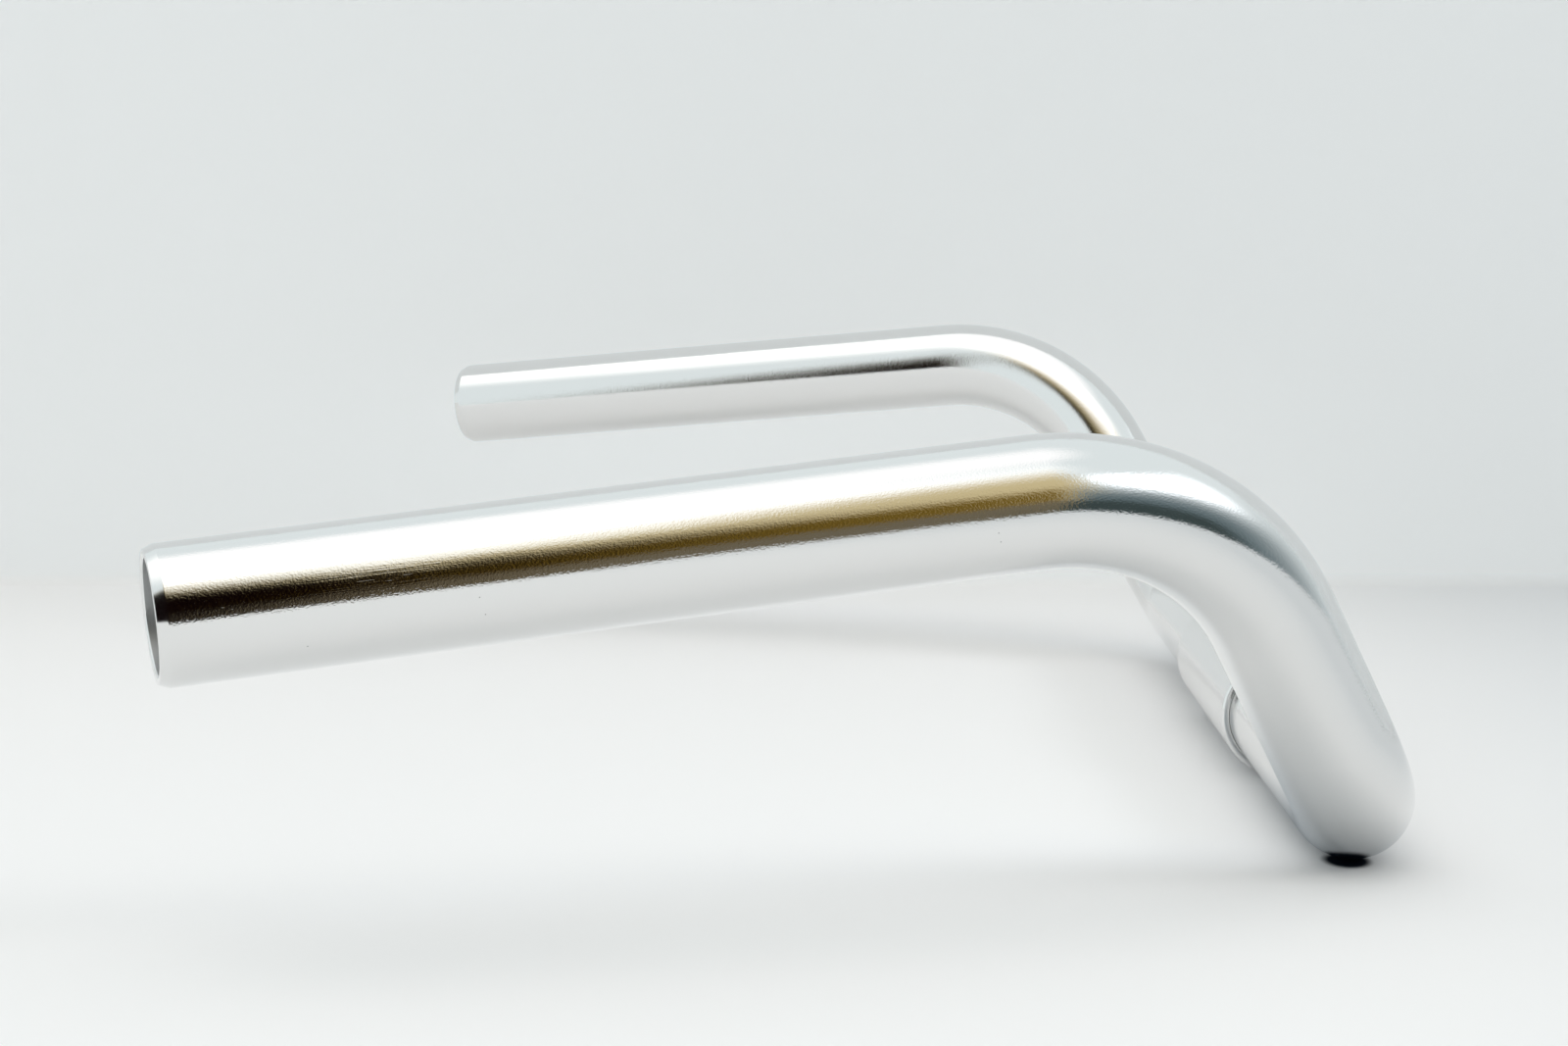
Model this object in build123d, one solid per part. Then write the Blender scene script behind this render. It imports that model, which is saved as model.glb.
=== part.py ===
from build123d import *

import math
import os

# A swept-back handlebar for a bicycle: one bent tube, with a clamp sleeve pressed round its middle.
# All lengths are in millimetres.
# The origin is the middle of the clamp sleeve. +X points forward, +Y to one side and +Z up.
# The bar is the same on both sides of the XZ plane.

# The tube
TUBE_OD = 22.2
TUBE_WALL = 2.0
LOWER_BEND_R = 32.0
UPPER_BEND_R = 50.0

# The route of the tube's middle line on the +Y side: where its straights would meet if no bend
# rounded them, and where the grip ends
LOWER_CORNER = Vector(0.0, 154.5, 0.0)
UPPER_CORNER = Vector(-32.2, 187.5, 62.1)
GRIP_END = Vector(-197.6, 237.5, 45.6)

# The turned edge at each end of the tube
END_BEVEL_LENGTH = 1.7
END_BEVEL_DROP = 0.7
MOUTH_CHAMFER = 0.3

# The clamp sleeve
SLEEVE_OD = 25.4
SLEEVE_LENGTH = 90.0
SLEEVE_CHAMFER = 0.5

CENTRE = Vector(0.0, 0.0, 0.0)
tube_r = TUBE_OD / 2
bore_r = tube_r - TUBE_WALL
sleeve_r = SLEEVE_OD / 2


def turned(profile):
    """A ring turned about Z. The profile's points are each a radius and a height."""
    wall = Plane.XZ * make_face(Polyline(*profile, close=True))
    return revolve(wall, axis=Axis.Z)


def arc_at(before, corner, after, radius):
    """How a bend rounds a corner: its first point, its last point, the axis it turns about and its angle."""
    way_in = (corner - before).normalized()
    way_out = (after - corner).normalized()
    angle = way_in.get_angle(way_out)
    reach = radius * math.tan(math.radians(angle / 2))
    first = corner - way_in * reach
    last = corner + way_out * reach
    normal = way_in.cross(way_out).normalized()
    middle = first + normal.cross(way_in) * radius
    return first, last, Axis(middle, normal), angle


def straight_tube(first, last):
    """A plain run of tube between two points."""
    run = last - first
    ring = Circle(tube_r) - Circle(bore_r)
    return extrude(Plane(origin=first, z_dir=run) * ring, amount=run.length)


def bent_tube(first, way, axis, angle):
    """A bend: the tube's ring section, square to the run it leaves, turned about the bend's axis."""
    ring = Circle(tube_r) - Circle(bore_r)
    return revolve(Plane(origin=first, z_dir=way) * ring, axis=axis, revolution_arc=angle)


def grip_tube(first, last):
    """The straight grip, with a bevel turned on its open end and the mouth of its bore eased."""
    run = last - first
    length = run.length
    profile = [
        (bore_r, 0),
        (tube_r, 0),
        (tube_r, length - END_BEVEL_LENGTH),
        (tube_r - END_BEVEL_DROP, length),
        (bore_r + MOUTH_CHAMFER, length),
        (bore_r, length - MOUTH_CHAMFER),
    ]
    return Plane(origin=first, z_dir=run) * turned(profile)


def bar_tube():
    """One side from the middle to the grip's end, with its mirror image joined on at the middle."""
    lower_first, lower_last, lower_axis, lower_angle = arc_at(
        CENTRE, LOWER_CORNER, UPPER_CORNER, LOWER_BEND_R
    )
    upper_first, upper_last, upper_axis, upper_angle = arc_at(
        LOWER_CORNER, UPPER_CORNER, GRIP_END, UPPER_BEND_R
    )
    across = LOWER_CORNER - CENTRE
    rise = UPPER_CORNER - LOWER_CORNER
    print("centre run", round(2 * (lower_first - CENTRE).length, 1))
    print("lower bend", round(lower_angle, 1), "degrees, radius", LOWER_BEND_R)
    print("leg run", round((upper_first - lower_last).length, 1))
    print("upper bend", round(upper_angle, 1), "degrees, radius", UPPER_BEND_R)
    print("grip run", round((GRIP_END - upper_last).length, 1))
    centre = straight_tube(lower_first - 2 * across.normalized() * lower_first.length, lower_first)
    side = (
        bent_tube(lower_first, across, lower_axis, lower_angle)
        + straight_tube(lower_last, upper_first)
        + bent_tube(upper_first, rise, upper_axis, upper_angle)
        + grip_tube(upper_last, GRIP_END)
    )
    return centre + side + mirror(side, about=Plane.XZ)


def clamp_sleeve():
    """The sleeve that takes the stem's clamp. Its bore is the tube's own diameter, pressed on."""
    half = SLEEVE_LENGTH / 2
    profile = [
        (tube_r, -half),
        (sleeve_r - SLEEVE_CHAMFER, -half),
        (sleeve_r, -half + SLEEVE_CHAMFER),
        (sleeve_r, half - SLEEVE_CHAMFER),
        (sleeve_r - SLEEVE_CHAMFER, half),
        (tube_r, half),
    ]
    return Rot(X=-90) * turned(profile)


os.makedirs("parts", exist_ok=True)
export_step(bar_tube(), "parts/bar_tube.step")
export_step(clamp_sleeve(), "parts/clamp_sleeve.step")
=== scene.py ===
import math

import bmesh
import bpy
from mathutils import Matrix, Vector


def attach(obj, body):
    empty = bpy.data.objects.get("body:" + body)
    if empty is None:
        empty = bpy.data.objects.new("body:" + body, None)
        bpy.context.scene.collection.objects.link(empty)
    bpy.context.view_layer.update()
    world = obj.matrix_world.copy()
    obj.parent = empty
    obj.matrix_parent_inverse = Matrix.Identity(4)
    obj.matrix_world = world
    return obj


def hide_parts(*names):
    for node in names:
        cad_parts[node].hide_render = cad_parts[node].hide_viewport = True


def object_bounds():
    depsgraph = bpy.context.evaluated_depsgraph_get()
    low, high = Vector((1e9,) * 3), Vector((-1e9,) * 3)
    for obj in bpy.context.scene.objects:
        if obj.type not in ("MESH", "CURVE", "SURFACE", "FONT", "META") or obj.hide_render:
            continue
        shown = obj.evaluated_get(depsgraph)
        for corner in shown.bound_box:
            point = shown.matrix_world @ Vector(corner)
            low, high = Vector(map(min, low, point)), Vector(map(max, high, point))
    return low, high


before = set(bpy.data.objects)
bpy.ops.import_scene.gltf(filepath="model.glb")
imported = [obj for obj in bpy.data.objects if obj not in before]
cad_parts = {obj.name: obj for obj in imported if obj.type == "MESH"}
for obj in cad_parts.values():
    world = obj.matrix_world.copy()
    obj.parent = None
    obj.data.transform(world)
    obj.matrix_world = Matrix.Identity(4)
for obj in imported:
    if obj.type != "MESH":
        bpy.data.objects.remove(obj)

# %% [markdown]
# # A polished swept-back handlebar
#
# The bar is one bent aluminium tube with a short sleeve pressed round its middle.
# There is almost nothing on it but its finish, so this lesson is about three things:
# a skin clean enough for reflections to run along it, a metal whose fine grain follows the bends,
# and a room worth reflecting.
#
# The frame that was just loaded holds the true shapes. Everything below is in metres,
# with +X forward, +Y to the rider's left and +Z up. The origin is the middle of the sleeve.

MM = 0.001
true_low, true_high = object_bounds()
print("model size in mm:", [round(side / MM, 1) for side in true_high - true_low])

# %% [markdown]
# ## The camera
#
# A camera is placed first, because every later choice is judged through it.
# The photographer stood close to one grip and looked along the bar with a long lens,
# a little above the table. The near grip fills the frame and the far one looks half its size.
# The lens and the place belong together: a wider lens further in would change that ratio.

# %% Camera
SENSOR_WIDTH = 36.0
LENS = 79.35
CAMERA_PLACE = Vector((-95.7, -756.0, 113.4)) * MM
LOOKS_DOWN = 0.1025
LOOKS_LEFT = 0.0111

camera = bpy.data.objects.new("camera", bpy.data.cameras.new("camera"))
camera.data.sensor_width = SENSOR_WIDTH
camera.data.lens = LENS
camera.location = CAMERA_PLACE
camera.rotation_euler = (math.pi / 2 - LOOKS_DOWN, 0.0, LOOKS_LEFT)
bpy.context.scene.collection.objects.link(camera)
bpy.context.scene.camera = camera
bpy.context.scene.view_settings.view_transform = "Standard"
print("field of view in degrees:", round(math.degrees(camera.data.angle), 1))

# %% [markdown]
# ## Words for node trees
#
# A material is a graph of nodes. Made by hand in the editor it is quick to read;
# made in code it needs a few words of its own, or every link takes three lines.
# `put` adds a node and fills its inputs, each with a plain value or with another node's output.
# `maths`, `fade`, `window` and `blend` are the few sums that all the looks below are built from.

# %% Node words
def put(tree, kind, inputs=(), **settings):
    """Adds a node. inputs pairs an input's name or number with a value or an output socket."""
    node = tree.nodes.new(kind)
    for name, setting in settings.items():
        setattr(node, name, setting)
    for key, value in dict(inputs).items():
        if isinstance(value, bpy.types.NodeSocket):
            tree.links.new(value, node.inputs[key])
        else:
            node.inputs[key].default_value = value
    return node


def maths(tree, operation, first, second=0.0):
    """One Math node's answer."""
    return put(tree, "ShaderNodeMath", {0: first, 1: second}, operation=operation).outputs[0]


def fade(tree, value, start, stop, low=0.0, high=1.0):
    """low at start, high at stop and a soft step between them. start may be the larger number."""
    inputs = {"Value": value, "From Min": start, "From Max": stop, "To Min": low, "To Max": high}
    return put(tree, "ShaderNodeMapRange", inputs, interpolation_type="SMOOTHSTEP").outputs[0]


def all_of(tree, amounts):
    """Amounts multiplied together. A plain 1 costs no node."""
    product = 1.0
    for amount in amounts:
        if product == 1.0:
            product = amount
        elif amount != 1.0:
            product = maths(tree, "MULTIPLY", product, amount)
    return product


def window(tree, value, start, full, still_full, stop):
    """1 between full and still_full, falling softly to 0 at start and at stop. None leaves a side open."""
    rise = 1.0 if start is None else fade(tree, value, start, full)
    fall = 1.0 if stop is None else fade(tree, value, stop, still_full)
    return all_of(tree, [rise, fall])


def blend(tree, amount, below, above):
    """Two colours mixed by an amount, which may be a number or a socket."""
    node = put(tree, "ShaderNodeMix", {"Factor": amount}, data_type="RGBA")
    sockets = [entry for entry in node.inputs if entry.type == "RGBA"]
    for socket, value in zip(sockets, (below, above)):
        if isinstance(value, bpy.types.NodeSocket):
            tree.links.new(value, socket)
        else:
            socket.default_value = (*value, 1.0)
    return [entry for entry in node.outputs if entry.type == "RGBA"][0]


def spot(tree, place, middle, size, full=0.5):
    """1 in the middle of a small oval and 0 outside. size is its three lengths, full how much of it is 1."""
    away = put(tree, "ShaderNodeVectorMath", {0: place, 1: middle}, operation="SUBTRACT").outputs[0]
    halves = [2 / length for length in size]
    counted = put(tree, "ShaderNodeVectorMath", {0: away, 1: halves}, operation="MULTIPLY").outputs[0]
    distance = put(tree, "ShaderNodeVectorMath", {0: counted}, operation="LENGTH").outputs["Value"]
    return fade(tree, distance, 1.0, full)


def any_of(tree, amounts):
    """The largest of several amounts."""
    largest = amounts[0]
    for amount in amounts[1:]:
        largest = maths(tree, "MAXIMUM", largest, amount)
    return largest


def new_material(name):
    """An empty material and its node tree."""
    material = bpy.data.materials.new(name)
    material.use_nodes = True
    material.node_tree.nodes.clear()
    return material, material.node_tree


# %% [markdown]
# ## The room in the metal
#
# Polished metal has next to no colour of its own: it shows the room.
# The long bands on the grip are a bright ceiling, a dark room behind the photographer and the white table.
# A lamp or two can't give them, so the room is painted on the world as a few soft patches.
# Each patch is a window in two angles: azimuth, 0 towards the photographer and 90 towards +X,
# and elevation above the horizon. The colours are light levels, where 1 is a fully lit white.
# Later patches lie over earlier ones. The same world lights the scene, so shadows and reflections agree.
# A window or a ceiling in a photograph is clipped white, so it may be brighter than it looks:
# that is what gives the table a light side and a shadow side.

# %% Room patches
FAR_WALLS = (0.88, 0.95, 0.96)
BACKGROUND = (0.76, 0.79, 0.795)
ALL_ROUND = (None, None, None, None)
ROOM = [
    # what it is, azimuth window, elevation window, colour
    ("ceiling", ALL_ROUND, (62, 76, None, None), (1.30, 1.30, 1.30)),
    ("side window", (44, 61, 86, 112), (16, 31, 37, 46), (2.4, 2.5, 2.6)),
    ("brightest pane", (54, 70, 78, 94), (25, 33, 34, 41), (6.0, 6.1, 6.2)),
    ("sunlit wall", (-38, -33, 40, 52), (None, None, 49, 65), (0.69, 0.57, 0.32)),
    ("top of the sunlit wall", (15, 22, 28, 35), (34, 47, None, None), (1.15, 1.10, 0.93)),
    ("lit ceiling in front", (-150, -105, 28, 68), (39, 66, None, None), (1.70, 1.70, 1.66)),
    ("grey side of the room", (37, 43, 66, 140), (None, None, 8, 35), (0.14, 0.185, 0.20)),
    ("brown furniture", (-38, -33, 35, 42), (None, None, 19, 33), (0.20, 0.125, 0.02)),
    ("dark corner", (36, 40, 62, 77), (None, None, 0, 10), (0.05, 0.07, 0.07)),
    ("dark room", (-38, -33, 22, 37), (None, None, 27, 42), (0.005, 0.002, 0.001)),
    ("depth of the dark room", (-38, -33, 19, 27), (None, None, 31, 54), (0.003, 0.001, 0.001)),
    ("floor of the room", (20, 32, 36, 40), (None, None, 4, 12), (0.165, 0.14, 0.095)),
]

world = bpy.data.worlds.new("room")
world.use_nodes = True
bpy.context.scene.world = world
tree = world.node_tree
tree.nodes.clear()

direction = put(tree, "ShaderNodeTexCoord").outputs["Generated"]
parts = put(tree, "ShaderNodeSeparateXYZ", {0: direction}).outputs
towards_camera = maths(tree, "MULTIPLY", parts["Y"], -1.0)
azimuth = maths(tree, "DEGREES", maths(tree, "ARCTAN2", parts["X"], towards_camera))
elevation = maths(tree, "DEGREES", maths(tree, "ARCSINE", parts["Z"]))

light = FAR_WALLS
for name, around, up, colour in ROOM:
    patch = all_of(tree, [window(tree, azimuth, *around), window(tree, elevation, *up)])
    light = blend(tree, patch, light, colour)

seen = put(tree, "ShaderNodeLightPath").outputs["Is Camera Ray"]
shown = blend(tree, seen, light, BACKGROUND)
surface = put(tree, "ShaderNodeBackground", {"Color": shown})
put(tree, "ShaderNodeOutputWorld", {"Surface": surface.outputs[0]})
print("room patches:", len(ROOM))

# %% [markdown]
# ## The table and the wall behind it
#
# The bar lies on a pale table, with a pale wall close behind it.
# Both are one sheet, turned up through a small bend where they meet.
# The sleeve is thicker than the tube, so a bar laid down touches with the sleeve's edge
# and with one low bend, and it leans by a degree.
# Here the bar keeps its own upright frame and the sheet leans instead.
# The real table ends short of the photographer and has a cut corner.
# A reflection that looks past that edge sees the dark room,
# and the edge is the crisp line along the near grip.
# A floor cut off there would look odd from other sides, so only reflected rays pass through it.
# The wall has a front alone: from behind it is clear, so the bar can be seen from every side.

# %% Table and wall
TABLE_TOP = true_low.z
TABLE_REACH = 6.0
SLEEVE_EDGE = -44.5 * MM
LOW_BEND_REST = Vector((0.0, -134.8, -11.1)) * MM
LEAN = math.atan((LOW_BEND_REST.z - TABLE_TOP) / (SLEEVE_EDGE - LOW_BEND_REST.y))
WALL_AT = 339 * MM
WALL_HEIGHT = 0.6
SWEEP_RADIUS = 5 * MM
SWEEP_STEPS = 12


def mesh_object(name, mesh_in_work):
    """Turns a finished bmesh into a smooth object in the scene."""
    mesh = bpy.data.meshes.new(name)
    mesh_in_work.to_mesh(mesh)
    mesh_in_work.free()
    mesh.polygons.foreach_set("use_smooth", [True] * len(mesh.polygons))
    thing = bpy.data.objects.new(name, mesh)
    bpy.context.scene.collection.objects.link(thing)
    return thing


def corners_of(made):
    """The vertices among what an operator made."""
    return [part for part in made if isinstance(part, bmesh.types.BMVert)]


def edges_of(made):
    """The edges among what an operator made that have both ends new: the far rim of an extrusion."""
    corners = set(corners_of(made))
    edges = [part for part in made if isinstance(part, bmesh.types.BMEdge)]
    return [edge for edge in edges if set(edge.verts) <= corners]


sheet = bmesh.new()
front = [sheet.verts.new((side * TABLE_REACH, -TABLE_REACH, TABLE_TOP)) for side in (-1, 1)]
front_edge = sheet.edges.new(front)
made = bmesh.ops.extrude_edge_only(sheet, edges=[front_edge])["geom"]
to_the_bend = Vector((0, TABLE_REACH + WALL_AT - SWEEP_RADIUS, 0))
bmesh.ops.translate(sheet, verts=corners_of(made), vec=to_the_bend)
turned_up = bmesh.ops.spin(
    sheet,
    geom=edges_of(made),
    cent=(0, WALL_AT - SWEEP_RADIUS, TABLE_TOP + SWEEP_RADIUS),
    axis=(1, 0, 0),
    angle=math.pi / 2,
    steps=SWEEP_STEPS,
)["geom_last"]
made = bmesh.ops.extrude_edge_only(sheet, edges=edges_of(turned_up))["geom"]
bmesh.ops.translate(sheet, verts=corners_of(made), vec=(0, 0, WALL_HEIGHT))
there = Matrix.Translation((0, SLEEVE_EDGE, TABLE_TOP))
lean = there @ Matrix.Rotation(-LEAN, 4, "X") @ there.inverted()
bmesh.ops.transform(sheet, matrix=lean, verts=sheet.verts)
bmesh.ops.recalc_face_normals(sheet, faces=sheet.faces)
sheet.faces.ensure_lookup_table()
if sheet.faces[0].normal.z < 0:
    bmesh.ops.reverse_faces(sheet, faces=sheet.faces)
backdrop = mesh_object("backdrop", sheet)
print("backdrop faces:", len(backdrop.data.polygons), "lean in degrees:", round(math.degrees(LEAN), 2))

# %% [markdown]
# ## Paper white
#
# A matt white that isn't quite white leaves room for the highlights on the metal.
# The wall stands half in the dark room's view and would come out grey,
# so for the eye alone, and for reflections, it gets a little brightness of its own.
# That adds nothing to the light on the bar's shadow side, as a lamp would.
# How much of it a place gets follows from how far the sheet has turned up there,
# which is what takes the light away, so no line shows at the foot of the wall.
# Under the bar the paper is shaded, and just in front of the place where the low bend rests on it
# the gap is nearly shut and looks black. White paper and bright metal pass light to and fro for so long
# that the renderer shows neither, so two soft ovals of painted shade make the paper darker there.
# The wide one is there for reflections alone: seen directly, the rendered shadow is dark enough.
# To the right the paper is painted a little greyer, a painted shade for the room's light falling off there.

# %% Paper of the table and wall
TABLE_PAPER = (0.905, 0.90, 0.905)
RIGHT_PAINTED_SHADE = (0.74, 0.755, 0.775)
RIGHT_SHADE_FADE = (-30 * MM, 160 * MM)
WALL_PAPER = (0.81, 0.835, 0.85)
WALL_GLOW = 0.24
SHADE_PLACE = LOW_BEND_REST + Vector((-14.0, 16.0, 0.0)) * MM
SHADE_SIZE = Vector((90.0, 190.0, 80.0)) * MM
SHADE_PAPER = (0.50, 0.53, 0.56)
GAP_SHADE_PLACE = LOW_BEND_REST + Vector((-1.0, -6.0, 0.0)) * MM
GAP_SHADE_SIZE = Vector((10.2, 18.0, 8.0)) * MM
GAP_SHADE_PAPER = (0.01, 0.015, 0.025)
SIDE_FADE = (0.3, 1.6)
TABLE_EDGE = -0.63
CUT_CORNER_FROM = 0.16
CUT_CORNER_EDGE = -0.38

paper, tree = new_material("pale_paper")
place = put(tree, "ShaderNodeTexCoord").outputs["Object"]
parts = put(tree, "ShaderNodeSeparateXYZ", {0: place}).outputs
ray = put(tree, "ShaderNodeLightPath").outputs
skin_side = put(tree, "ShaderNodeNewGeometry").outputs
level = put(tree, "ShaderNodeSeparateXYZ", {0: skin_side["Normal"]}).outputs["Z"]
up_the_wall = maths(tree, "SUBTRACT", 1.0, level)
# painted shade: the table paper turns greyer towards +X, where the room's light falls off
table = blend(tree, fade(tree, parts["X"], *RIGHT_SHADE_FADE), TABLE_PAPER, RIGHT_PAINTED_SHADE)
colour = blend(tree, up_the_wall, table, WALL_PAPER)
shade = all_of(tree, [spot(tree, place, SHADE_PLACE, SHADE_SIZE, full=0.0), ray["Is Glossy Ray"]])
colour = blend(tree, shade, colour, SHADE_PAPER)
# painted shade: a near-black oval on the paper where the low bend nearly touches the table
colour = blend(tree, spot(tree, place, GAP_SHADE_PLACE, GAP_SHADE_SIZE, full=0.6), colour, GAP_SHADE_PAPER)
matt = put(tree, "ShaderNodeBsdfDiffuse", {"Color": colour}).outputs[0]

watched = any_of(tree, [ray["Is Camera Ray"], ray["Is Glossy Ray"]])
glow = all_of(tree, [watched, up_the_wall, WALL_GLOW])
glowing = put(tree, "ShaderNodeEmission", {"Color": (*WALL_PAPER, 1.0), "Strength": glow}).outputs[0]
white = put(tree, "ShaderNodeAddShader", {0: matt, 1: glowing}).outputs[0]

past_edge = maths(tree, "LESS_THAN", parts["Y"], TABLE_EDGE)
in_corner = maths(tree, "MULTIPLY",
                  maths(tree, "GREATER_THAN", parts["X"], CUT_CORNER_FROM),
                  maths(tree, "LESS_THAN", parts["Y"], CUT_CORNER_EDGE))
past_side = fade(tree, parts["X"], *SIDE_FADE)
past_sheet = any_of(tree, [past_edge, in_corner, past_side])
off_the_table = maths(tree, "MULTIPLY", ray["Is Glossy Ray"], past_sheet)
clear = put(tree, "ShaderNodeBsdfTransparent").outputs[0]
not_there = maths(tree, "MAXIMUM", off_the_table, skin_side["Backfacing"])
surface = put(tree, "ShaderNodeMixShader", {0: not_there, 1: white, 2: clear})
put(tree, "ShaderNodeOutputMaterial", {"Surface": surface.outputs[0]})
backdrop.data.materials.append(paper)
print("nodes in the paper:", len(tree.nodes))

# %% [markdown]
# ## The route of the tube
#
# On the real bar a straight tube is bent four times round dies.
# Each side has a tight bend up and out, a short leg, and a wide bend back into the grip,
# and the two bends lie in different planes.
# The route needs only its sharp corners and two radii: each bend's centre, axis and angle follow from them.

# %% Route
TUBE_R = 11.1 * MM
BORE_R = 9.1 * MM
CENTRE = Vector((0.0, 0.0, 0.0))
LOWER_CORNER = Vector((0.0, 154.5, 0.0)) * MM
UPPER_CORNER = Vector((-32.2, 187.5, 62.1)) * MM
GRIP_END = Vector((-197.6, 237.5, 45.6)) * MM
LOWER_BEND_R = 32.0 * MM
UPPER_BEND_R = 50.0 * MM


def bend_at(before, corner, after, radius):
    """How a bend rounds a corner: its first and last points, and the centre, axis and angle it turns by."""
    way_in = (corner - before).normalized()
    way_out = (after - corner).normalized()
    angle = way_in.angle(way_out)
    reach = radius * math.tan(angle / 2)
    axis = way_in.cross(way_out).normalized()
    first = corner - way_in * reach
    centre = first + axis.cross(way_in) * radius
    return first, corner + way_out * reach, centre, axis, angle


lower_first, lower_last, lower_centre, lower_axis, lower_angle = bend_at(
    CENTRE, LOWER_CORNER, UPPER_CORNER, LOWER_BEND_R
)
upper_first, upper_last, upper_centre, upper_axis, upper_angle = bend_at(
    LOWER_CORNER, UPPER_CORNER, GRIP_END, UPPER_BEND_R
)
grip_way = (GRIP_END - upper_last).normalized()
print("bends in degrees:", round(math.degrees(lower_angle), 1), round(math.degrees(upper_angle), 1))

# %% [markdown]
# ## Growing a tube ring by ring
#
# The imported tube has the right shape, but it comes as loose triangles
# with nothing on them to steer a pattern.
# Its finish shows every facet, and its grain has to go round the bends,
# so the skin is grown again here as a grid of quads.
# A circle is the seed. Each step extrudes its rim and moves the new ring by one matrix:
# a slide on a straight, a turn about the bend's axis on a bend, a slide and a shrink at the turned end.
# Every vertex also carries the place it would have if the tube were straightened,
# as it was before it was bent. The metal's grain is drawn on that straight tube.

# %% Ring words
RING_SIDES = 128


def slide(way, distance):
    """A step along a straight: a matrix, how far it goes along the tube and how it scales the ring."""
    return Matrix.Translation(way * distance), distance, 1.0


def turn(centre, axis, angle, radius):
    """A step round a bend."""
    there = Matrix.Translation(centre)
    return there @ Matrix.Rotation(angle, 4, axis) @ there.inverted(), radius * angle, 1.0


def resize(middle, way, distance, scale):
    """A step that slides a ring and changes its radius about its own middle."""
    there = Matrix.Translation(middle + way * distance)
    shrink = Matrix.Diagonal((scale, scale, scale, 1.0))
    return there @ shrink @ Matrix.Translation(-middle), distance, scale


def run(first, last, pieces):
    """A straight between two points, in equal steps."""
    way = last - first
    return [slide(way.normalized(), way.length / pieces)] * pieces


def swing(centre, axis, angle, radius, pieces):
    """A bend in equal steps."""
    return [turn(centre, axis, angle / pieces, radius)] * pieces


def grow(skin, rim, steps, finish):
    """Extrudes a rim through a list of steps, gives the new faces a finish and returns the last rim."""
    straight = skin.verts.layers.float_vector["straight"]
    for matrix, length, scale in steps:
        made = bmesh.ops.extrude_edge_only(skin, edges=rim)["geom"]
        corners = corners_of(made)
        bmesh.ops.transform(skin, matrix=matrix, verts=corners)
        for corner in corners:
            across, up, along = corner[straight]
            corner[straight] = (across * scale, up * scale, along + length)
        for face in made:
            if isinstance(face, bmesh.types.BMFace):
                face.material_index = finish
        rim = edges_of(made)
    return rim


# %% [markdown]
# ## One side of the bar
#
# The end of each grip is turned in a lathe before the tube is bent:
# a bevel that lets a rubber grip start, a flat face, and a hair's chamfer at the mouth.
# Behind the mouth the bore goes back through both bends to the middle, so the skin has a true inside
# and light that enters the mouth finds a wall. The bore is seen little, so it takes larger steps.

# %% Tube skin
POLISHED, TURNED, DRAWN = 0, 1, 2
END_BEVEL_LENGTH = 1.7 * MM
END_BEVEL_DROP = 0.7 * MM
MOUTH_CHAMFER = 0.3 * MM
OUTSIDE_STEPS = {"centre": 8, "lower bend": 54, "leg": 3, "upper bend": 60, "grip": 10}
BORE_STEPS = {"centre": 2, "lower bend": 18, "leg": 1, "upper bend": 24, "grip": 5}

skin = bmesh.new()
straight = skin.verts.layers.float_vector.new("straight")
seed = bmesh.ops.create_circle(skin, segments=RING_SIDES, radius=TUBE_R)["verts"]
for corner in seed:
    corner[straight] = corner.co
face_y = Matrix.Rotation(-math.pi / 2, 4, "X")
bmesh.ops.transform(skin, matrix=face_y, verts=seed)
rim = list(skin.edges)

bevel_start = GRIP_END - grip_way * END_BEVEL_LENGTH
outside = (
    run(CENTRE, lower_first, OUTSIDE_STEPS["centre"])
    + swing(lower_centre, lower_axis, lower_angle, LOWER_BEND_R, OUTSIDE_STEPS["lower bend"])
    + run(lower_last, upper_first, OUTSIDE_STEPS["leg"])
    + swing(upper_centre, upper_axis, upper_angle, UPPER_BEND_R, OUTSIDE_STEPS["upper bend"])
    + run(upper_last, bevel_start, OUTSIDE_STEPS["grip"])
)
rim = grow(skin, rim, outside, POLISHED)

face_r = TUBE_R - END_BEVEL_DROP
mouth_r = BORE_R + MOUTH_CHAMFER
turned_end = [
    resize(bevel_start, grip_way, END_BEVEL_LENGTH, face_r / TUBE_R),
    resize(GRIP_END, grip_way, 0.0, mouth_r / face_r),
    resize(GRIP_END, grip_way, -MOUTH_CHAMFER, BORE_R / mouth_r),
]
rim = grow(skin, rim, turned_end, TURNED)

mouth = GRIP_END - grip_way * MOUTH_CHAMFER
inside = (
    run(mouth, upper_last, BORE_STEPS["grip"])
    + swing(upper_centre, upper_axis, -upper_angle, -UPPER_BEND_R, BORE_STEPS["upper bend"])
    + run(upper_first, lower_last, BORE_STEPS["leg"])
    + swing(lower_centre, lower_axis, -lower_angle, -LOWER_BEND_R, BORE_STEPS["lower bend"])
    + run(lower_first, CENTRE, BORE_STEPS["centre"])
)
rim = grow(skin, rim, inside, DRAWN)
print("rings on one side:", len(skin.verts) // RING_SIDES)

# %% [markdown]
# ## Soft edges and the other side
#
# No machined edge is perfectly sharp.
# A rounding of a tenth of a millimetre is far too small to see as a shape,
# but it catches a thread of light, and that thread is what makes an edge look real.
# Then the side is mirrored. The two halves meet at the middle, under the sleeve, and become one skin.
# A weighted-normal modifier keeps the flat faces flat beside their soft edges.

# %% Round the edges, mirror and close
EDGE_ROUND = 0.09 * MM
CORNER_ANGLE = math.radians(15)
MEETING_GAP = 0.001 * MM
DOUBLES_GAP = 0.0005 * MM


def soften(mesh_in_work, radius):
    """Rounds every edge that has a real corner."""
    corners = [edge for edge in mesh_in_work.edges if edge.calc_face_angle(0.0) > CORNER_ANGLE]
    bmesh.ops.bevel(
        mesh_in_work,
        geom=corners,
        offset=radius,
        offset_type="OFFSET",
        segments=2,
        profile=0.5,
        material=-1,
        affect="EDGES",
    )
    return len(corners)


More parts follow.
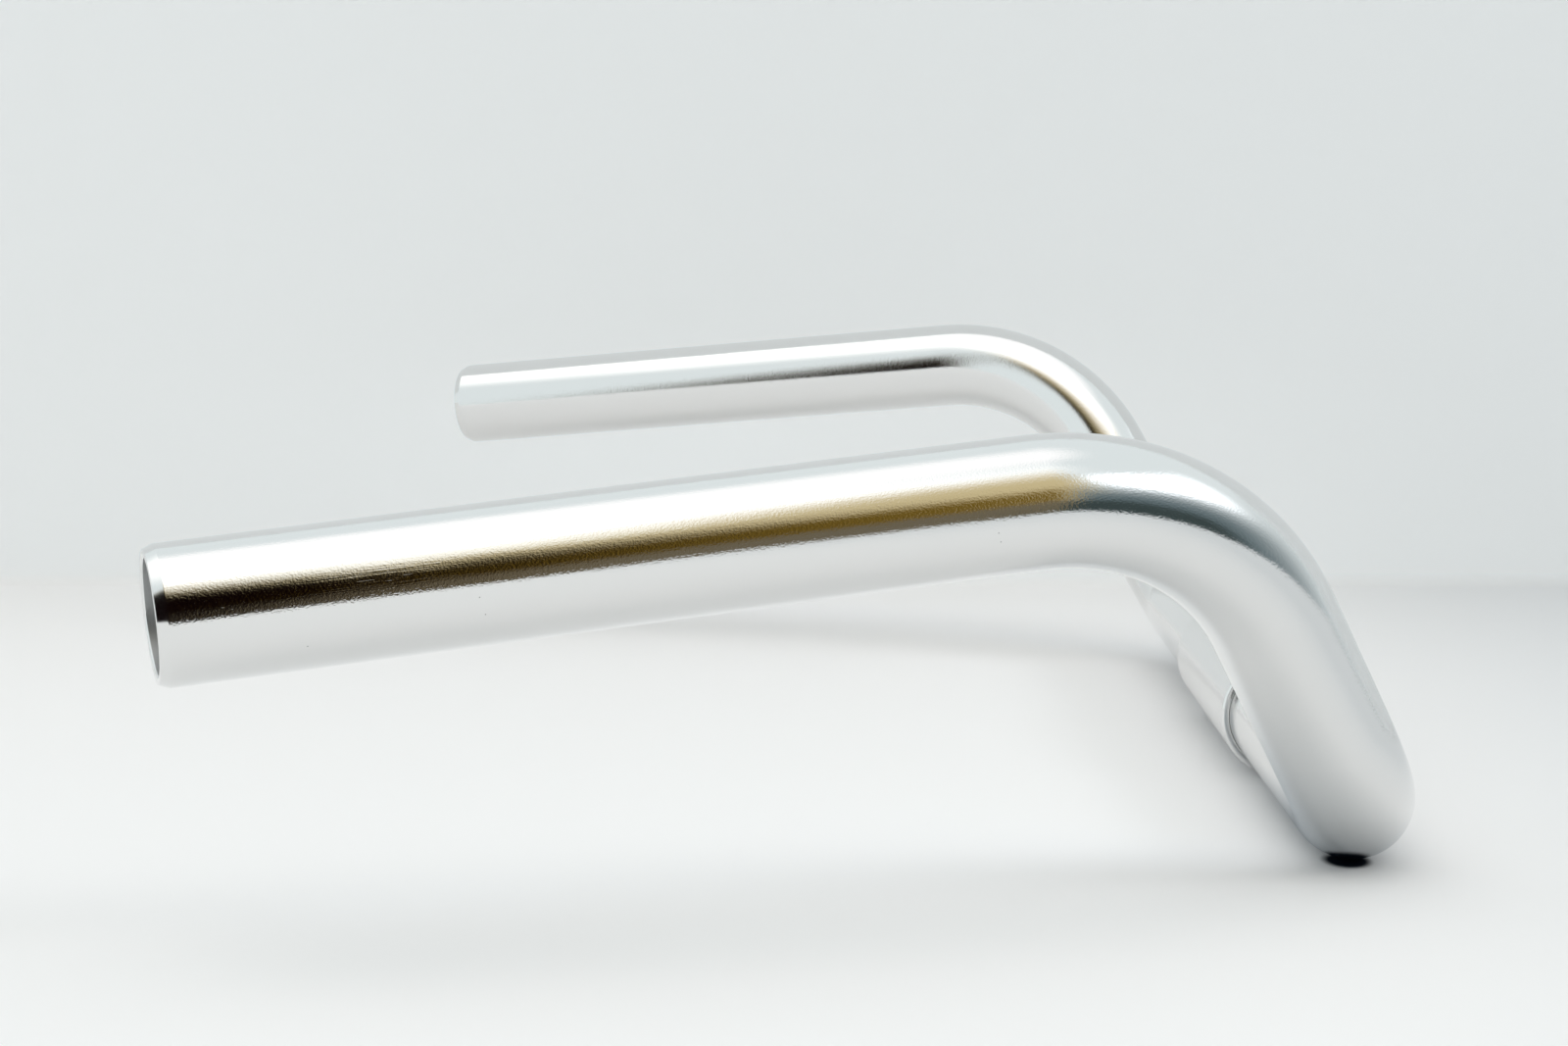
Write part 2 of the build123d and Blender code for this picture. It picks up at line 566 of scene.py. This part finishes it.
def keep_flats_flat(thing):
    """Normals follow the larger faces."""
    modifier = thing.modifiers.new("flat faces", "WEIGHTED_NORMAL")
    modifier.mode = "FACE_AREA"
    modifier.weight = 50


rounded = soften(skin, EDGE_ROUND)
one_side = skin.verts[:] + skin.edges[:] + skin.faces[:]
bmesh.ops.mirror(skin, geom=one_side, axis="Y", merge_dist=MEETING_GAP)
bmesh.ops.remove_doubles(skin, verts=skin.verts, dist=DOUBLES_GAP)
bmesh.ops.recalc_face_normals(skin, faces=skin.faces)
open_edges = [edge for edge in skin.edges if not edge.is_manifold]
print("edges rounded:", rounded, "faces:", len(skin.faces), "open edges:", len(open_edges))
print("tube volume in cubic cm:", round(skin.calc_volume() / (10 * MM) ** 3, 2))

# %% [markdown]
# ## A map for the grain
#
# A stretched highlight needs a direction on the surface, and a UV map gives it one.
# U goes once round the tube and V runs along it. Both are read from the straightened places.
# One column of faces spans the seam, where U jumps back to its start:
# there the small values are lifted by one whole turn, or the map would run backwards in that column.

# %% UV map of the tube
HALF_A_TURN = 0.5

lengthwise = skin.loops.layers.uv.new("lengthwise")
for face in skin.faces:
    turns = [math.atan2(loop.vert[straight].y, loop.vert[straight].x) / math.tau for loop in face.loops]
    spans_seam = max(turns) - min(turns) > HALF_A_TURN
    for loop, around in zip(face.loops, turns):
        lift = 1.0 if spans_seam and around < 0 else 0.0
        loop[lengthwise].uv = (around + lift, loop.vert[straight].z)

tube = mesh_object("tube", skin)
keep_flats_flat(tube)
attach(tube, "root")
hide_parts("bar_tube")

# %% [markdown]
# ## Words for metal
#
# Every finish on this bar is bare metal that differs in its marks, so a few words make them all.
# Noise that is read from a stretched place gives marks longer one way than the other.
# A bump needs the height of the marks in metres. That is a few thousandths of a millimetre:
# only the slope shows, and a slope of one degree already moves a reflection by two.

# %% Metal words
METAL = (0.79, 0.79, 0.785)
FINE_DETAIL = 3.0


def stretched(tree, place, across, along):
    """The place counted in blots of a given width and length."""
    scale = (1 / across, 1 / across, 1 / along)
    return put(tree, "ShaderNodeVectorMath", {0: place, 1: scale}, operation="MULTIPLY").outputs[0]


def marks(tree, place, across, along, detail=2.0):
    """Noise in marks of a given width and length."""
    inputs = {"Vector": stretched(tree, place, across, along), "Scale": 1.0, "Detail": detail}
    return put(tree, "ShaderNodeTexNoise", inputs).outputs[0]


def raised(tree, height, depth, below=None):
    """A bump of one height field over another."""
    inputs = {"Height": height, "Distance": depth, "Strength": 1.0}
    if below is not None:
        inputs["Normal"] = below
    return put(tree, "ShaderNodeBump", inputs).outputs[0]


def radius_of(tree, first, second):
    """How far a place lies from an axis, from its two parts across that axis."""
    squares = [maths(tree, "MULTIPLY", part, part) for part in (first, second)]
    return maths(tree, "SQRT", maths(tree, "ADD", *squares))


def metal(tree, colour, roughness, stretch, normal, tangent=None):
    """A bare metal surface. stretch is how much longer its highlights are one way than the other."""
    inputs = {"Base Color": colour, "Metallic": 1.0, "Roughness": roughness, "Normal": normal,
              "Anisotropic": stretch}
    if tangent is not None:
        inputs["Tangent"] = tangent
    surface = put(tree, "ShaderNodeBsdfPrincipled", inputs)
    put(tree, "ShaderNodeOutputMaterial", {"Surface": surface.outputs[0]})


# %% [markdown]
# ## Small damage
#
# On the near grip something has rubbed along the tube and left a patch of fine streaks,
# with a few bright scratches in it, and there are some dark pits.
# Each is placed on the straightened tube by its angle round it and its distance from the middle.
# A scratch scatters light, so it shows in the dark reflection and vanishes in the bright one.
# A pit holds dirt and shows the other way about. Both sides of the bar share one straightened tube,
# so the marks are kept to the near side by the sign of Y.

# %% Scratches and pits
RUB_PLACE = (22.5, 360.0)
RUB_SIZE = (6 * MM, 6 * MM, 34 * MM)
SCRATCH_WIDTH = 0.07 * MM
SCRATCHES = [
    # angle round the tube in degrees, distance along it and length in mm
    (22.4, 362.8, 4.2),
    (24.7, 359.3, 1.6),
    (21.7, 356.4, 2.6),
    (28.9, 384.6, 0.6),
    (31.0, 383.2, 0.4),
]
PIT_SIZE = 0.24 * MM
PITS = [
    # angle round the tube in degrees, distance along it in mm
    (62.8, 345.0),
    (50.6, 261.6),
    (58.9, 261.2),
    (47.2, 345.8),
    (71.0, 372.4),
]


def on_tube(angle, along):
    """A place on the straightened tube's surface."""
    turned = math.radians(angle)
    return Vector((TUBE_R * math.cos(turned), TUBE_R * math.sin(turned), along * MM))


print("scratches:", len(SCRATCHES), "pits:", len(PITS))

# %% [markdown]
# ## Polished aluminium
#
# The tube was drawn through a die and polished along its length, so its marks run lengthwise.
# The base is bright metal, a little rougher across the marks than along them.
# Over it lie a fine grain, which breaks the soft upper edge of the dark reflection into specks,
# lengthwise polishing lines that come and go, and a slow swell
# that keeps a long reflection from being ruler straight.

# %% Polished outside of the tube
GRAIN_WIDTH = 0.30 * MM
GRAIN_LENGTH = 0.40 * MM
GRAIN_HEIGHT = 0.016 * MM
LINE_WIDTH = 0.22 * MM
LINE_LENGTH = 9 * MM
LINE_HEIGHT = 0.006 * MM
RUBBED_LINES = 5.0
SWELL_WIDTH = 9 * MM
SWELL_LENGTH = 45 * MM
SWELL_HEIGHT = 0.05 * MM
POLISH = 0.05
WORN_POLISH = 0.08
POLISH_FADE = (0.3, 0.7)
LINES_FADE = (0.42, 0.62)
WORN_WIDTH = 3 * MM
WORN_LENGTH = 30 * MM
HIGHLIGHT_STRETCH = 0.35
SCRATCH_ROUGHNESS = 0.40
DIRT = (0.16, 0.16, 0.16)

polished, tree = new_material("polished_tube")
place = put(tree, "ShaderNodeAttribute", attribute_name="straight").outputs["Vector"]
tangent = put(tree, "ShaderNodeTangent", direction_type="UV_MAP", uv_map="lengthwise").outputs[0]

where = put(tree, "ShaderNodeTexCoord").outputs["Object"]
near_side = maths(tree, "LESS_THAN", put(tree, "ShaderNodeSeparateXYZ", {0: where}).outputs["Y"], 0.0)
rub = all_of(tree, [near_side, spot(tree, place, on_tube(*RUB_PLACE), RUB_SIZE, full=0.3), RUBBED_LINES])
scratches = all_of(tree, [near_side, any_of(tree, [
    spot(tree, place, on_tube(angle, along), (SCRATCH_WIDTH, SCRATCH_WIDTH, length * MM))
    for angle, along, length in SCRATCHES
])])
pits = all_of(tree, [near_side, any_of(tree, [
    spot(tree, place, on_tube(*pit), (PIT_SIZE, PIT_SIZE, PIT_SIZE)) for pit in PITS
])])

worn = marks(tree, place, WORN_WIDTH, WORN_LENGTH, detail=FINE_DETAIL)
line_strength = any_of(tree, [rub, fade(tree, worn, *LINES_FADE)])
lines = maths(tree, "MULTIPLY", line_strength, marks(tree, place, LINE_WIDTH, LINE_LENGTH, detail=1.0))
normal = raised(tree, marks(tree, place, SWELL_WIDTH, SWELL_LENGTH, detail=0.0), SWELL_HEIGHT)
normal = raised(tree, lines, LINE_HEIGHT, below=normal)
normal = raised(tree, marks(tree, place, GRAIN_WIDTH, GRAIN_LENGTH), GRAIN_HEIGHT, below=normal)

polish = fade(tree, worn, *POLISH_FADE, low=POLISH, high=WORN_POLISH)
roughness = any_of(tree, [polish, maths(tree, "MULTIPLY", scratches, SCRATCH_ROUGHNESS)])
colour = blend(tree, pits, METAL, DIRT)
metal(tree, colour, roughness, HIGHLIGHT_STRETCH, normal, tangent)
tube.data.materials.append(polished)
print("nodes in the polished finish:", len(tree.nodes))

# %% [markdown]
# ## The turned end and the bore
#
# The lathe leaves rings on the end face, so there the noise varies with radius and hardly with angle.
# The bore keeps the dull skin of the drawn tube. It is rougher, as nobody polishes the inside of a
# handlebar, and its colour is darker, partly for that dull skin and partly as painted shade for the depth of
# the bore.

# %% Turned end and drawn bore
END_RING = 0.12 * MM
END_RING_HEIGHT = 0.002 * MM
END_ROUGHNESS = 0.10
STREAK_WIDTH = 0.5 * MM
STREAK_LENGTH = 8 * MM
STREAK_HEIGHT = 0.006 * MM
BORE_METAL_WITH_PAINTED_SHADE = (0.62, 0.63, 0.63)
BORE_ROUGHNESS = 0.45

turned, tree = new_material("turned_end")
place = put(tree, "ShaderNodeAttribute", attribute_name="straight").outputs["Vector"]
parts = put(tree, "ShaderNodeSeparateXYZ", {0: place}).outputs
radius = radius_of(tree, parts["X"], parts["Y"])
ring_place = put(tree, "ShaderNodeCombineXYZ", {"X": radius, "Z": parts["Z"]}).outputs[0]
rings = marks(tree, ring_place, END_RING, END_RING, detail=FINE_DETAIL)
metal(tree, (*METAL, 1.0), END_ROUGHNESS, 0.0, raised(tree, rings, END_RING_HEIGHT))
tube.data.materials.append(turned)

drawn, tree = new_material("drawn_bore_with_painted_shade")
place = put(tree, "ShaderNodeAttribute", attribute_name="straight").outputs["Vector"]
streaks = marks(tree, place, STREAK_WIDTH, STREAK_LENGTH, detail=FINE_DETAIL)
# the bore colour: dull drawn skin, darkened further as painted shade for the depth of the bore
metal(tree, (*BORE_METAL_WITH_PAINTED_SHADE, 1.0), BORE_ROUGHNESS, 0.0, raised(tree, streaks, STREAK_HEIGHT))
tube.data.materials.append(drawn)
print("finishes on the tube:", [material.name for material in tube.data.materials])

# %% [markdown]
# ## The clamp sleeve
#
# The stem clamps on a sleeve of 25.4 millimetres, pressed round the thinner tube.
# It is turned from a short length of thicker tube, so here it is a profile spun round the bar's axis.
# Its inner edges are broken a little more than its outer ones,
# and that leaves the fine dark line where sleeve and tube meet.

# %% Sleeve
SLEEVE_R = 12.7 * MM
SLEEVE_HALF = 45.0 * MM
SLEEVE_CHAMFER = 0.5 * MM
INNER_BREAK = 0.15 * MM

half_profile = [
    (TUBE_R, SLEEVE_HALF - INNER_BREAK),
    (TUBE_R + INNER_BREAK, SLEEVE_HALF),
    (SLEEVE_R - SLEEVE_CHAMFER, SLEEVE_HALF),
    (SLEEVE_R, SLEEVE_HALF - SLEEVE_CHAMFER),
]
ring = bmesh.new()
profile = [ring.verts.new((radius, along, 0.0)) for radius, along in half_profile]
profile += [ring.verts.new((radius, -along, 0.0)) for radius, along in reversed(half_profile)]
loop = [ring.edges.new((first, last)) for first, last in zip(profile, profile[1:] + profile[:1])]
bmesh.ops.spin(
    ring,
    geom=profile + loop,
    cent=CENTRE,
    axis=(0, 1, 0),
    angle=math.tau,
    steps=RING_SIDES,
    use_merge=True,
)
soften(ring, EDGE_ROUND)
bmesh.ops.recalc_face_normals(ring, faces=ring.faces)
print("sleeve volume in cubic cm:", round(ring.calc_volume() / (10 * MM) ** 3, 2))
sleeve = mesh_object("sleeve", ring)
keep_flats_flat(sleeve)
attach(sleeve, "root")
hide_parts("clamp_sleeve")

# %% [markdown]
# ## Turned aluminium for the sleeve
#
# The sleeve was finished in the lathe, so its marks run round it, crosswise to the tube's.
# The noise varies along Y and with radius, but not with angle: every mark closes into a ring.

# %% Sleeve finish
SLEEVE_RING = 0.15 * MM
SLEEVE_RING_HEIGHT = 0.0015 * MM
SLEEVE_ROUGHNESS = 0.16

finish, tree = new_material("turned_sleeve")
place = put(tree, "ShaderNodeTexCoord").outputs["Object"]
parts = put(tree, "ShaderNodeSeparateXYZ", {0: place}).outputs
radius = radius_of(tree, parts["X"], parts["Z"])
ring_place = put(tree, "ShaderNodeCombineXYZ", {"X": radius, "Y": parts["Y"]}).outputs[0]
rings = marks(tree, ring_place, SLEEVE_RING, SLEEVE_RING, detail=FINE_DETAIL)
metal(tree, (*METAL, 1.0), SLEEVE_ROUGHNESS, 0.0, raised(tree, rings, SLEEVE_RING_HEIGHT))
sleeve.data.materials.append(finish)
print("finish on the sleeve:", finish.name)
